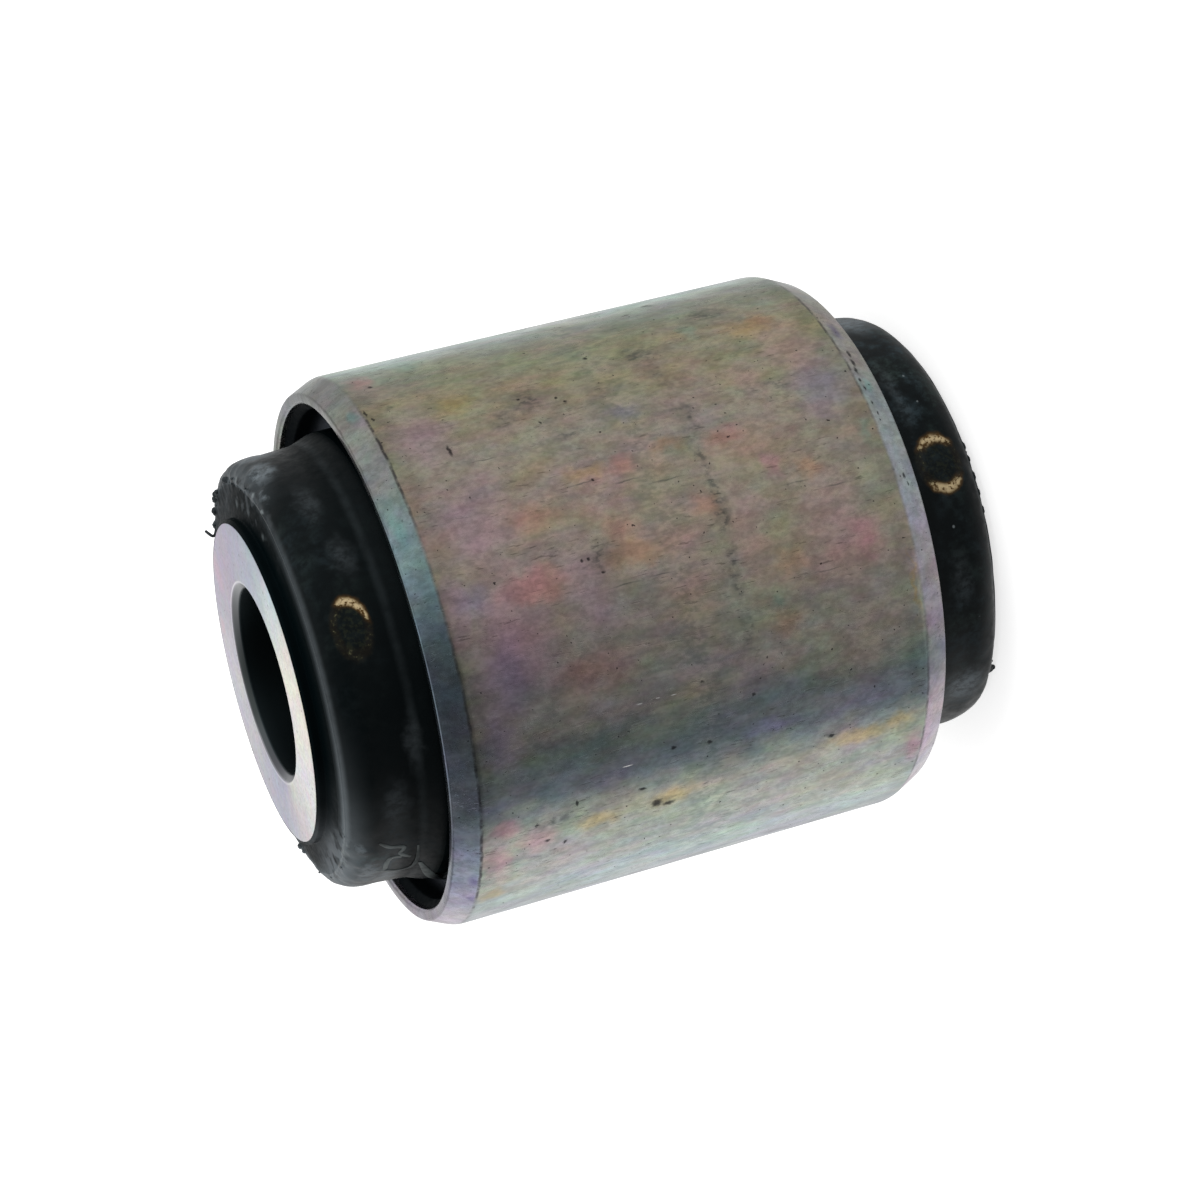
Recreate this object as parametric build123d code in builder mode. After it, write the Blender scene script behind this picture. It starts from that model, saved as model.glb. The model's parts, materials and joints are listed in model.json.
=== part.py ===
from build123d import *
import os

# Rubber-metal bush: a steel outer sleeve and a thick steel inner sleeve, with one rubber body
# moulded and bonded between them.
#
# The bush's axis is Z and the origin is the middle of the bolt bore. Lengths are in millimetres.
# The two ends are alike, so each section is drawn for the upper half and mirrored in the middle.
# Radii build outwards from the bolt bore, and heights build upwards from the outer sleeve's end.

# Inner sleeve, a thick tube that is clamped between two brackets by a bolt
bolt_bore_diameter = 14.2  # clearance for an M14 bolt
inner_sleeve_wall = 5.15
bore_chamfer = 0.5
inner_rim_chamfer = 0.2

# Outer sleeve, a thin tube that is pressed into the arm's eye
outer_sleeve_length = 38.5
outer_sleeve_wall = 1.7
lead_in_length = 1.9  # the taper that starts the press fit, along the axis
lead_in_depth = 0.88  # and across it
lead_in_blend = 1.5  # radius where the taper runs out into the outside of the tube
mouth_chamfer = 0.2

# Rubber body, from the inner sleeve outwards
front_face_width = 2.65  # ring of rubber around the inner sleeve's end
shoulder_width = 1.4
side_draft = 0.2  # the collar's side widens by this much on its way down
flare_width = 0.6  # and its foot by this much more
groove_corner = 0.45  # bevel at each side of the groove's floor
groove_floor = 0.75  # flat floor of the open groove between the collar's foot and the lining
lining_wall = 0.55  # thin skin of rubber on the inside of the outer sleeve

# Rubber body, from the outer sleeve's end upwards
foot_height = 0.95  # where the collar's side meets its flared foot
side_height = 3.1
shoulder_height = 2.15
front_face_rise = 0.4
inner_sleeve_reach = 0.75  # steel that stands proud of the rubber

# Rubber body, from the outer sleeve's end downwards
lining_setback = 0.6
lip_height = 0.5  # the lining thins to nothing over this much
flare_depth = 0.65
groove_depth = 3.2

# Radii, each from the one inside it
bore_radius = bolt_bore_diameter / 2
inner_sleeve_radius = bore_radius + inner_sleeve_wall
crease_radius = inner_sleeve_radius + front_face_width
collar_radius = crease_radius + shoulder_width
foot_radius = collar_radius + side_draft
flare_radius = foot_radius + flare_width
lining_radius = flare_radius + 2 * groove_corner + groove_floor
mouth_radius = lining_radius + lining_wall
outer_sleeve_radius = mouth_radius + outer_sleeve_wall

# Heights above the middle of the bush
sleeve_end = outer_sleeve_length / 2
foot_z = sleeve_end + foot_height
side_top = foot_z + side_height
crease_z = side_top + shoulder_height
rubber_top = crease_z + front_face_rise
inner_sleeve_end = rubber_top + inner_sleeve_reach
lining_z = sleeve_end - lining_setback
flare_z = sleeve_end - flare_depth
floor_z = sleeve_end - groove_depth

os.makedirs("parts", exist_ok=True)

# Outer sleeve: a tube with a long shallow taper outside each end and a broken edge inside
with BuildPart() as outer_sleeve:
    with BuildSketch(Plane.XZ) as tube_section:
        with BuildLine():
            Polyline(
                (mouth_radius, 0),
                (mouth_radius, sleeve_end - mouth_chamfer),
                (mouth_radius + mouth_chamfer, sleeve_end),
                (outer_sleeve_radius - lead_in_depth, sleeve_end),
                (outer_sleeve_radius, sleeve_end - lead_in_length),
                (outer_sleeve_radius, 0),
            )
            mirror(about=Plane.XZ)
        make_face()
        taper_ends = tube_section.vertices().filter_by(
            lambda corner: corner.X > outer_sleeve_radius - lead_in_depth / 2 and abs(corner.Y) > 0
        )
        fillet(taper_ends, radius=lead_in_blend)
    revolve(axis=Axis.Z)
outer_sleeve.part.label = "outer_sleeve"
export_step(outer_sleeve.part, "parts/outer_sleeve.step")

# Inner sleeve: cut to length, bored through, and chamfered at the bore and the rim
with BuildPart() as inner_sleeve:
    Cylinder(radius=inner_sleeve_radius, height=2 * inner_sleeve_end)
    rims = inner_sleeve.edges().filter_by(GeomType.CIRCLE)
    chamfer(rims, length=inner_rim_chamfer)
    Hole(radius=bore_radius)
    bore_mouths = inner_sleeve.edges().filter_by(GeomType.CIRCLE).group_by(SortBy.RADIUS)[0]
    chamfer(bore_mouths, length=bore_chamfer)
inner_sleeve.part.label = "inner_sleeve"
export_step(inner_sleeve.part, "parts/inner_sleeve.step")

# Rubber body: a crowned collar on each end of the inner sleeve, which drops down a drafted side
# and a flared foot into an open groove, and ends in a thin lining up the outer sleeve. Both
# bonded faces lie on the steel itself.
with BuildPart() as rubber_body:
    with BuildSketch(Plane.XZ):
        with BuildLine():
            front_face = Line((inner_sleeve_radius, rubber_top), (crease_radius, crease_z))
            side = Line((foot_radius, foot_z), (collar_radius, side_top))
            TangentArc(side @ 1, front_face @ 1, tangent=side % 1)
            Polyline(
                side @ 0,
                (flare_radius, flare_z),
                (flare_radius, floor_z + groove_corner),
                (flare_radius + groove_corner, floor_z),
                (lining_radius - groove_corner, floor_z),
                (lining_radius, floor_z + groove_corner),
                (lining_radius, lining_z - lip_height),
                (mouth_radius, lining_z),
                (mouth_radius, 0),
            )
            Line((inner_sleeve_radius, 0), front_face @ 0)
            mirror(about=Plane.XZ)
        make_face()
    revolve(axis=Axis.Z)
rubber_body.part.label = "rubber_body"
export_step(rubber_body.part, "parts/rubber_body.step")

print("outer sleeve", round(2 * outer_sleeve_radius, 2), "x", outer_sleeve_length)
print("inner sleeve", round(2 * inner_sleeve_radius, 2), "x", round(2 * inner_sleeve_end, 2))
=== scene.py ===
# %% [markdown]
# # A rubber-metal bush
#
# This bush is two steel sleeves with rubber moulded between them. The thin outer sleeve is pressed
# into an arm, the thick inner one is clamped by a bolt, and the rubber lets the arm twist a little.
# The solids come from the CAD model. Here each one gets a finer skin: rounded edges, moulding flash,
# wear, a yellow-iridescent zinc finish on the steel and dusty black rubber.
#
# The CAD model is loaded first, because every piece takes its place and size from it.

# %% Load the CAD model
import json
import math
import random
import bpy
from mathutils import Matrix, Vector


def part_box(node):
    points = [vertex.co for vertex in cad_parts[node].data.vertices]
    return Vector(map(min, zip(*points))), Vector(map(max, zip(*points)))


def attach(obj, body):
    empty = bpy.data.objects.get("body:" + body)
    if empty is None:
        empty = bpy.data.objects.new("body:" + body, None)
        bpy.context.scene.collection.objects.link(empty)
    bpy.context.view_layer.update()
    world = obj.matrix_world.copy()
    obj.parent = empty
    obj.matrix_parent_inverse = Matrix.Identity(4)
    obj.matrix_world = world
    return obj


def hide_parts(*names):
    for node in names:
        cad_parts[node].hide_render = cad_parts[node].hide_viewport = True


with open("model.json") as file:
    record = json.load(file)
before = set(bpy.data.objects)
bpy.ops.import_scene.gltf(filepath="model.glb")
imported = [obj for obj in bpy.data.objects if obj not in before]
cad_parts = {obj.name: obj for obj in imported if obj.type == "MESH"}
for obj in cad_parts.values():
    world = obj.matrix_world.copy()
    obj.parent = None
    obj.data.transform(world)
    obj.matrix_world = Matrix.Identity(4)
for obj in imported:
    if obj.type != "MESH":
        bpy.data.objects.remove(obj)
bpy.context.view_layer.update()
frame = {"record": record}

from types import SimpleNamespace

import bmesh
import bpy
from mathutils import Matrix, Vector, noise

MM = 0.001  # one millimetre in metres
FULL_TURN = 2 * math.pi

_, sleeve_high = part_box("outer_sleeve")
_, rubber_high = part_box("rubber_body")
inner_low, inner_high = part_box("inner_sleeve")
bolt_bore = next(mount for mount in frame["record"]["mounts"] if mount["name"] == "bolt_bore")

# %% [markdown]
# ## The camera
#
# The bush stands on one end, and the camera looks slightly down on the other. It is rolled almost a
# quarter turn, so the bush seems to lie on its side. A camera is easiest to aim with three
# directions: where it looks, its right and its up, which become the columns of its matrix.

# %% Aim the camera
CAMERA_PLACE = Vector((-0.357, -228.35, 70.54)) * MM
LOOK_DOWN = math.radians(17.195)
ROLL = math.radians(-104.664)
FOCAL_LENGTH = 94.27
SENSOR_WIDTH = 36

camera_data = bpy.data.cameras.new("camera")
camera_data.sensor_width = SENSOR_WIDTH
camera_data.lens = FOCAL_LENGTH
camera_data.clip_start = 1 * MM
camera_data.dof.use_dof = False
camera = bpy.data.objects.new("camera", camera_data)
bpy.context.scene.collection.objects.link(camera)
level = Matrix.Rotation(math.pi / 2 - LOOK_DOWN, 4, "X")
camera.matrix_world = Matrix.Translation(CAMERA_PLACE) @ level @ Matrix.Rotation(ROLL, 4, "Z")
bpy.context.scene.camera = camera

# %% [markdown]
# ## Helpers for shader nodes
#
# A material is a small network of nodes. These helpers add one node each and return its output, so
# that a finish reads as a few lines. Patterns are measured in millimetres on the piece itself: the
# Object coordinates, in metres, are scaled up a thousand times.

# %% Node helpers
def add_node(tree, kind, inputs=None, **settings):
    """Adds a node, and sets or links its inputs by name or number."""
    made = tree.nodes.new(kind)
    for name, value in settings.items():
        setattr(made, name, value)
    for name, value in (inputs or {}).items():
        if isinstance(value, bpy.types.NodeSocket):
            tree.links.new(value, made.inputs[name])
        else:
            made.inputs[name].default_value = value
    return made


def calc(tree, operation, first, second=0.0):
    """One step of arithmetic."""
    return add_node(tree, "ShaderNodeMath", {0: first, 1: second}, operation=operation).outputs[0]


def fade(tree, value, start, end, low=0.0, high=1.0):
    """A smooth step: low where value is at start, high where it is at end."""
    inputs = {"Value": value, "From Min": start, "From Max": end, "To Min": low, "To Max": high}
    kind = "ShaderNodeMapRange"
    return add_node(tree, kind, inputs, interpolation_type="SMOOTHSTEP").outputs["Result"]


def times(tree, *factors):
    """The product of some levels."""
    product = factors[0]
    for factor in factors[1:]:
        product = calc(tree, "MULTIPLY", product, factor)
    return product


def away_from(tree, value, target):
    """How far a value is from a target, on either side."""
    return calc(tree, "ABSOLUTE", calc(tree, "SUBTRACT", value, target))


def vector_calc(tree, operation, first, second=(0, 0, 0)):
    """One step of arithmetic on a place or a direction. LENGTH and DOT_PRODUCT give a number."""
    made = add_node(tree, "ShaderNodeVectorMath", {0: first, 1: second}, operation=operation)
    return made.outputs["Value" if operation in ("LENGTH", "DOT_PRODUCT") else "Vector"]


def blend_colour(tree, share, first, second, way="MIX"):
    """Colour first, with share of colour second laid over it."""
    inputs = {0: share, 6: first, 7: second}
    return add_node(tree, "ShaderNodeMix", inputs, data_type="RGBA", blend_type=way).outputs[2]


def colour(red, green, blue):
    """A colour as a screen shows it, 0 to 255, turned into the linear values of a shader."""
    channels = [part / 255 for part in (red, green, blue)]
    return [part / 12.92 if part <= 0.04045 else ((part + 0.055) / 1.055) ** 2.4 for part in channels] + [1]


def grey(level):
    """A grey of that linear level."""
    return (level, level, level, 1)


def lay_on(tree, finish, share, tone, strength=1.0):
    """A finish with a colour laid over it, where share says and at most as strongly as strength."""
    if strength != 1.0:
        share = times(tree, share, strength)
    return blend_colour(tree, share, finish, colour(*tone))


def polar(angle, radius, height):
    """The point at an angle about Z in degrees, at a distance from the axis and at a height."""
    turned = math.radians(angle)
    return (radius * math.cos(turned), radius * math.sin(turned), height)


def millimetres(tree, stretch=(1, 1, 1), shift=(0, 0, 0)):
    """Object coordinates in millimetres, squeezed or moved for a pattern."""
    place = add_node(tree, "ShaderNodeTexCoord").outputs["Object"]
    scale = [side / MM for side in stretch]
    inputs = {"Vector": place, "Scale": scale, "Location": shift}
    return add_node(tree, "ShaderNodeMapping", inputs).outputs[0]


def height_of(tree, place):
    """The Z of a place, in millimetres."""
    return add_node(tree, "ShaderNodeSeparateXYZ", {0: place}).outputs["Z"]


def radius_of(tree, place):
    """How far a place is from the Z axis, in millimetres."""
    return vector_calc(tree, "LENGTH", vector_calc(tree, "MULTIPLY", place, (1, 1, 0)))


def noise_node(tree, place, size, detail, roughness):
    """The outputs of soft noise whose blotches have about that size in millimetres."""
    inputs = {"Vector": place, "Scale": 1 / size, "Detail": detail, "Roughness": roughness}
    return add_node(tree, "ShaderNodeTexNoise", inputs).outputs


def clouds(tree, place, size, detail=3.0, roughness=0.5):
    """Noise as a level from 0 to 1."""
    return noise_node(tree, place, size, detail, roughness)["Fac"]


def warp(tree, place, size, reach):
    """Moves a place by up to about reach millimetres, so that a pattern gets an uneven edge."""
    drift = noise_node(tree, place, size, 3.0, 0.5)["Color"]
    inputs = {0: drift, 1: (2 * reach,) * 3, 2: (-reach,) * 3}
    drift = add_node(tree, "ShaderNodeVectorMath", inputs, operation="MULTIPLY_ADD").outputs[0]
    return vector_calc(tree, "ADD", place, drift)


def mottle(tree, finish, place, size, strength):
    """Shifts the colour of a finish at random, each of red, green and blue by itself."""
    tones = noise_node(tree, place, size, 3.0, 0.6)["Color"]
    limits = dict(zip((7, 8, 9, 10), [(side,) * 3 for side in (0.3, 0.7, 1 - strength, 1 + strength)]))
    ranged = add_node(tree, "ShaderNodeMapRange", {"Vector": tones, **limits}, data_type="FLOAT_VECTOR")
    return blend_colour(tree, 1.0, finish, ranged.outputs["Vector"], "MULTIPLY")


def shade(tree, finish, share, low, high):
    """Darkens or brightens a finish: by low where share is 0 and by high where it is 1."""
    level = fade(tree, share, 0.0, 1.0, low, high)
    even = add_node(tree, "ShaderNodeCombineColor", {0: level, 1: level, 2: level}).outputs[0]
    return blend_colour(tree, 1.0, finish, even, "MULTIPLY")


def spots(tree, place, radius, marks, soft=0.5):
    """Where any of some marks lies on a round piece, as a share from 0 to 1.

    A mark is (angle about Z in degrees, height, half width across, half width along Z), in mm. The
    radius is a number, or a function of the height.
    """
    found = None
    for angle, height, across, along in marks:
        centre = polar(angle, radius(height) if callable(radius) else radius, height)
        offset = vector_calc(tree, "SUBTRACT", place, centre)
        squeezed = vector_calc(tree, "MULTIPLY", offset, (1 / across, 1 / across, 1 / along))
        mark = fade(tree, vector_calc(tree, "LENGTH", squeezed), 1.0, 1.0 - soft)
        found = calc(tree, "MAXIMUM", found, mark) if found else mark
    return found


def around(tree, place, stops):
    """Colours that change round the axis, from (angle in degrees, colour) stops from -180 to 180."""
    sides = add_node(tree, "ShaderNodeSeparateXYZ", {0: place}).outputs
    angle = calc(tree, "ARCTAN2", sides["Y"], sides["X"])
    turn = calc(tree, "ADD", calc(tree, "DIVIDE", angle, FULL_TURN), 0.5)
    ramp = add_node(tree, "ShaderNodeValToRGB", {0: turn})
    bands = ramp.color_ramp.elements
    for at, _ in stops[1:-1]:
        bands.new((at + 180) / 360)
    for band, (_, tone) in zip(bands, stops):
        band.color = colour(*tone)
    return ramp.outputs[0]


def level_round(tree, place, stops):
    """A level from 0 to 1 that changes round the axis, from (angle, level) stops."""
    return around(tree, place, [(angle, (linear_grey(level),) * 3) for angle, level in stops])


def linear_grey(level):
    """The screen value, 0 to 255, whose linear value is level."""
    return 255 * (12.92 * level if level <= 0.0031308 else 1.055 * level ** (1 / 2.4) - 0.055)


def new_material(name):
    """An empty material: itself, its node tree and its Principled shader."""
    material = bpy.data.materials.new(name)
    material.use_nodes = True
    return material, material.node_tree, material.node_tree.nodes["Principled BSDF"]


def wire(tree, shader, finish, rough, relief, strength, depth):
    """Links a finish, its roughness and its relief, whose depth is in millimetres, to the shader."""
    tree.links.new(finish, shader.inputs["Base Color"])
    tree.links.new(rough, shader.inputs["Roughness"])
    inputs = {"Height": relief, "Strength": strength, "Distance": depth * MM}
    tree.links.new(add_node(tree, "ShaderNodeBump", inputs).outputs[0], shader.inputs["Normal"])


# %% [markdown]
# ## The studio
#
# A shiny sleeve shows the room around it, so the room matters as much as the lamps. The background
# is white, the wall behind the bush and the ceiling are bright, and the side where the camera stands
# is dimmer, with a dark gap at the lower left of the camera. Only reflections see those walls: soft
# lamps light the rubber. The floor is white to the camera and keeps a light shadow of the bush.

# %% Build the room
WALL_LEVEL = 0.57  # what reflections see where there is no card
AMBIENT = 0.75  # the light that falls on dull surfaces
CARDS = [
    ("ceiling", 0, 90, 38, 16, 0.80),
    ("back", 185, 0, 32, 16, 0.85),
    ("dark", 40, 26, 44, 26, 0.08),
    ("white", 135, -20, 48, 18, 1.05),
]  # name, bearing from the camera, height above level, radius and soft edge in degrees, brightness


def card_direction(bearing, height):
    """The way to a card: bearing 0 is the camera's side, and 90 is the side of -X."""
    turned, raised = math.radians(bearing), math.radians(height)
    level_part = math.cos(raised)
    return (-math.sin(turned) * level_part, -math.cos(turned) * level_part, math.sin(raised))


world = bpy.data.worlds.new("studio")
bpy.context.scene.world = world
world.use_nodes = True
room = world.node_tree
room.nodes.clear()
looking = add_node(room, "ShaderNodeTexCoord").outputs["Generated"]
looking = vector_calc(room, "NORMALIZE", looking)
seen = grey(WALL_LEVEL)
for _, bearing, height, radius, softness, brightness in CARDS:
    facing = vector_calc(room, "DOT_PRODUCT", looking, card_direction(bearing, height))
    away = math.cos(math.radians(min(180, radius + softness)))
    inside = math.cos(math.radians(max(0, radius - softness)))
    seen = blend_colour(room, fade(room, facing, away, inside), seen, grey(brightness))
ray = add_node(room, "ShaderNodeLightPath").outputs
lit = blend_colour(room, ray["Is Glossy Ray"], grey(AMBIENT), seen)
backdrop = calc(room, "MAXIMUM", ray["Is Camera Ray"], ray["Is Transmission Ray"])
shown = blend_colour(room, backdrop, lit, grey(1))
glow = add_node(room, "ShaderNodeBackground", {"Color": shown, "Strength": 1.0})
surface = add_node(room, "ShaderNodeOutputWorld")
room.links.new(glow.outputs[0], surface.inputs["Surface"])

# %% Lay the floor
FLOOR_SIZE = 4000
FLOOR_GAP = 0.02  # between the bush and the floor, in mm
FLOOR_GREY = 0.8
FLOOR_GLOW = 0.70  # what the camera sees on top, so that the lit floor is pure white

floor_mesh = bmesh.new()
bmesh.ops.create_grid(floor_mesh, x_segments=1, y_segments=1, size=FLOOR_SIZE * MM / 2)
bmesh.ops.translate(floor_mesh, verts=floor_mesh.verts, vec=(0, 0, inner_low.z - FLOOR_GAP * MM))
floor_data = bpy.data.meshes.new("floor")
floor_mesh.to_mesh(floor_data)
floor_mesh.free()
floor = bpy.data.objects.new("floor", floor_data)
bpy.context.scene.collection.objects.link(floor)
floor.visible_glossy = False

white, tree, shader = new_material("white_paper")
shader.inputs["Base Color"].default_value = grey(FLOOR_GREY)
shader.inputs["Roughness"].default_value = 1.0
shader.inputs["Specular IOR Level"].default_value = 0.0
ray = add_node(tree, "ShaderNodeLightPath").outputs
shader.inputs["Emission Color"].default_value = grey(1)
seen_white = calc(tree, "MAXIMUM", ray["Is Camera Ray"], ray["Is Transmission Ray"])
tree.links.new(times(tree, seen_white, FLOOR_GLOW), shader.inputs["Emission Strength"])
floor.data.materials.append(white)


# %% Hang the lamps
LAMP_SIZE = 300


def soft_lamp(name, place, power):
    """A square lamp that faces the bush, and that only dull surfaces show."""
    data = bpy.data.lights.new(name, "AREA")
    data.size = LAMP_SIZE * MM
    data.energy = power
    lamp = bpy.data.objects.new(name, data)
    lamp.location = Vector(place) * MM
    lamp.rotation_euler = (-lamp.location).to_track_quat("-Z", "Y").to_euler()
    lamp.visible_glossy = False
    lamp.visible_camera = False
    bpy.context.scene.collection.objects.link(lamp)


soft_lamp("lamp_above", (60, -120, 420), 0.6)
soft_lamp("lamp_right", (420, -160, 120), 0.8)

# %% [markdown]
# ## Turned and moulded shapes
#
# Every main piece is round, so each is made as on a lathe: its section is drawn as a few corners,
# the corners are rounded with Bevel, and Spin sweeps the section a full turn. The CAD solids have
# the same sections. The skins made here add the small radii that catch the light, and enough points
# to carry dents, waves and a ragged rim.


# %% Section and spin
WEDGES = 12  # a shape is spun as this many wedges
ROUNDING_STEP = 0.12  # how much rounding one facet takes, in mm
SMOOTH_UP_TO = 40  # degrees between faces, past which an edge is drawn sharp


def section(corners, step, lowest=0.0):
    """Draws a closed section in the XZ plane from (radius, height, rounding) corners in mm.

    Long edges that lie at least as high or as low as lowest get a point every step.
    """
    outline = bmesh.new()
    points = [outline.verts.new((radius * MM, 0, height * MM)) for radius, height, _ in corners]
    outline.faces.new(points)
    for point, (_, _, rounding) in zip(points, corners):
        if rounding:
            segments = max(3, min(12, round(rounding / ROUNDING_STEP)))
            bmesh.ops.bevel(
                outline,
                geom=[point],
                offset=rounding * MM,
                offset_type="OFFSET",
                segments=segments,
                profile=0.5,
                affect="VERTICES",
                material=-1,
            )
    bmesh.ops.delete(outline, geom=outline.faces[:], context="FACES_ONLY")
    for edge in outline.edges[:]:
        cuts = int(edge.calc_length() / (step * MM))
        middle = (edge.verts[0].co.z + edge.verts[1].co.z) / 2
        if cuts and abs(middle) >= lowest * MM:
            bmesh.ops.subdivide_edges(outline, edges=[edge], cuts=cuts)
    return outline


def both_ends(half):
    """A section's upper half, followed by its mirror image below."""
    return half + [(radius, -height, rounding) for radius, height, rounding in reversed(half)]


def spin(outline, steps):
    """Turns a section about Z: a wedge of some steps, which is then copied round and closed.

    Spin slows down as the mesh grows, so a wedge and its copies are much quicker than one long turn.
    """
    about_z = {"cent": (0, 0, 0), "axis": (0, 0, 1), "dvec": (0, 0, 0)}
    wedge = FULL_TURN / WEDGES
    drawn = outline.verts[:] + outline.edges[:]
    bmesh.ops.spin(outline, geom=drawn, angle=wedge, steps=steps, **about_z)
    swept = outline.verts[:] + outline.edges[:] + outline.faces[:]
    rest = FULL_TURN - wedge
    bmesh.ops.spin(outline, geom=swept, angle=rest, steps=WEDGES - 1, use_duplicate=True, **about_z)
    bmesh.ops.remove_doubles(outline, verts=outline.verts, dist=0.001 * MM)
    bmesh.ops.recalc_face_normals(outline, faces=outline.faces)
    return outline


def finish_piece(name, shape, materials, node=None):
    """Makes an object of a bmesh, smooths its shading and rides it on the bush's one body."""
    data = bpy.data.meshes.new(name)
    shape.to_mesh(data)
    shape.free()
    for polygon in data.polygons:
        polygon.use_smooth = True
    data.set_sharp_from_angle(angle=math.radians(SMOOTH_UP_TO))
    for material in materials:
        data.materials.append(material)
    piece = bpy.data.objects.new(name, data)
    bpy.context.scene.collection.objects.link(piece)
    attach(piece, "root")
    if node:
        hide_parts(node)
    print(name, len(data.polygons), "faces")


# %% [markdown]
# ## Zinc plating
#
# The steel is zinc plated and passivated. The thin clear film on the zinc gives faint rainbow
# colours: olive, peach, mauve and blue patches a few millimetres wide. An image could hold them, but
# noise and a colour ramp round the axis give the same look at any scale. Over them lie short axial
# scratches from handling, grey grime and a few dark pits, each a small mask of its own.

# %% Zinc colours
SLEEVE_BANDS = [
    (-180, (130, 136, 142)),
    (-168, (127, 135, 140)),
    (-158, (164, 176, 176)),
    (-146, (160, 163, 154)),
    (-135, (155, 157, 147)),
    (-127, (112, 121, 129)),
    (-118, (130, 140, 138)),
    (-111, (181, 179, 166)),
    (-104, (180, 176, 164)),
    (-92, (171, 162, 149)),
    (-78, (170, 160, 144)),
    (-64, (173, 161, 147)),
    (-56, (173, 164, 150)),
    (-44, (172, 164, 138)),
    (-30, (160, 162, 136)),
    (-21, (146, 154, 140)),
    (-13, (170, 187, 178)),
    (5, (178, 183, 181)),
    (32, (174, 169, 152)),
    (58, (178, 164, 155)),
    (84, (164, 167, 161)),
    (108, (173, 162, 167)),
    (140, (172, 168, 152)),
    (180, (130, 136, 142)),
]  # the tint of the zinc round the sleeve, by angle in degrees
FRONT_TAPER_BANDS = [
    (-180, (150, 140, 152)),
    (-165, (162, 154, 166)),
    (-150, (140, 142, 164)),
    (-135, (133, 141, 156)),
    (-120, (168, 178, 194)),
    (-105, (150, 168, 182)),
    (-90, (144, 166, 178)),
    (-75, (150, 176, 182)),
    (-60, (150, 165, 164)),
    (-45, (172, 170, 164)),
    (-30, (150, 152, 148)),
    (-15, (101, 105, 97)),
    (2, (124, 130, 132)),
    (60, (170, 172, 160)),
    (110, (150, 166, 178)),
    (150, (172, 166, 180)),
    (180, (150, 140, 152)),
]
BACK_TAPER_BANDS = [
    (-180, (184, 178, 184)),
    (-150, (168, 158, 168)),
    (-135, (164, 152, 162)),
    (-120, (124, 124, 132)),
    (-105, (176, 168, 174)),
    (-90, (174, 174, 184)),
    (-75, (168, 176, 180)),
    (-60, (162, 168, 162)),
    (-45, (170, 160, 152)),
    (-30, (158, 159, 150)),
    (0, (160, 162, 160)),
    (70, (176, 172, 182)),
    (130, (166, 170, 160)),
    (180, (184, 178, 184)),
]
MAUVE = [
    (-95, 12.5, 9.0, 5.0),
    (-90, 7.0, 6.0, 3.5),
    (-72, 13.5, 5.0, 4.0),
    (-48, 14.5, 5.0, 3.5),
    (-87, 16.4, 5.0, 1.6),
    (-106, 14.8, 6.0, 3.0),
]
ROSE = [
    (-112, -12.5, 4.5, 5.0),
    (-90, -12.0, 7.0, 4.0),
    (-86, -5.5, 5.5, 2.0),
    (-54, -10.0, 2.4, 2.0),
    (-48, -14.0, 5.0, 3.0),
    (-26, 16.0, 3.0, 1.4),
    (-138, 13.0, 2.0, 2.0),
    (-147, 15.8, 2.6, 1.5),
    (-86, 11.4, 1.9, 4.6),
    (-95, 13.2, 4.5, 3.2),
]
OLIVE = [(-156, 13.5, 3.0, 3.0), (-136, 5.0, 1.6, 3.0), (-22, 10.0, 3.0, 5.0)]
PINK = [
    (-85.5, 10.4, 1.8, 3.6),
    (-72, 9.2, 1.5, 3.0),
    (-66, 1.7, 1.1, 1.4),
    (-65.5, -6.2, 1.2, 3.0),
    (-79, 3.4, 1.5, 2.2),
    (-104, 8.0, 2.4, 4.3),
    (-24, 16.0, 1.9, 1.6),
]
MAGENTA = [
    (-141.5, 16.2, 2.2, 1.5),
    (-133, 15.4, 1.2, 1.6),
    (-92, -14.0, 2.4, 1.8),
    (-142, -16.6, 2.7, 1.1),
    (-74, -8.6, 1.6, 1.1),
]
VIOLET = [
    (-85.5, 15.0, 2.0, 2.0),
    (-60, -14.6, 3.5, 3.2),
    (-101, 13.8, 4.6, 2.3),
    (-125, -5.0, 1.2, 3.2),
    (-113, 15.6, 3.0, 2.2),
    (-55, 0.0, 1.2, 2.2),
]
GOLD = [
    (-137.2, 8.6, 1.1, 2.7),
    (-136, 2.6, 1.4, 2.7),
    (-134, -11.9, 1.1, 3.8),
    (-133, -15.0, 1.2, 1.9),
    (-154, 16.2, 1.4, 1.4),
    (-66, 4.8, 1.1, 2.2),
    (-42, 11.0, 1.6, 1.9),
    (-40, -12.0, 1.8, 2.4),
    (-104, -16.9, 3.6, 0.3),
]
ORANGE = [
    (-64.5, -2.0, 0.9, 2.2),
    (-76, -11.4, 1.2, 1.2),
    (-105, -6.9, 1.6, 1.8),
    (-78, -3.0, 1.6, 1.6),
    (-38, -13.4, 1.6, 1.4),
    (-93, -8.0, 1.6, 2.2),
    (-84, 3.0, 1.4, 4.1),
]
TEAL = [(-100, -6.4, 0.9, 1.0), (-20, 12.0, 2.4, 1.6), (-36, -8.0, 1.6, 1.2), (-72, -16.4, 1.4, 0.9)]
TAPER_TEAL = [(-37, 18.0, 1.2, 0.6), (-68, 18.4, 1.8, 0.6), (-62, -18.2, 1.0, 0.5)]
TAPER_VIOLET = [(-147, 17.8, 1.0, 0.5), (-154, 17.6, 0.9, 0.4), (-46, -18.2, 1.4, 0.6)]
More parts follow.
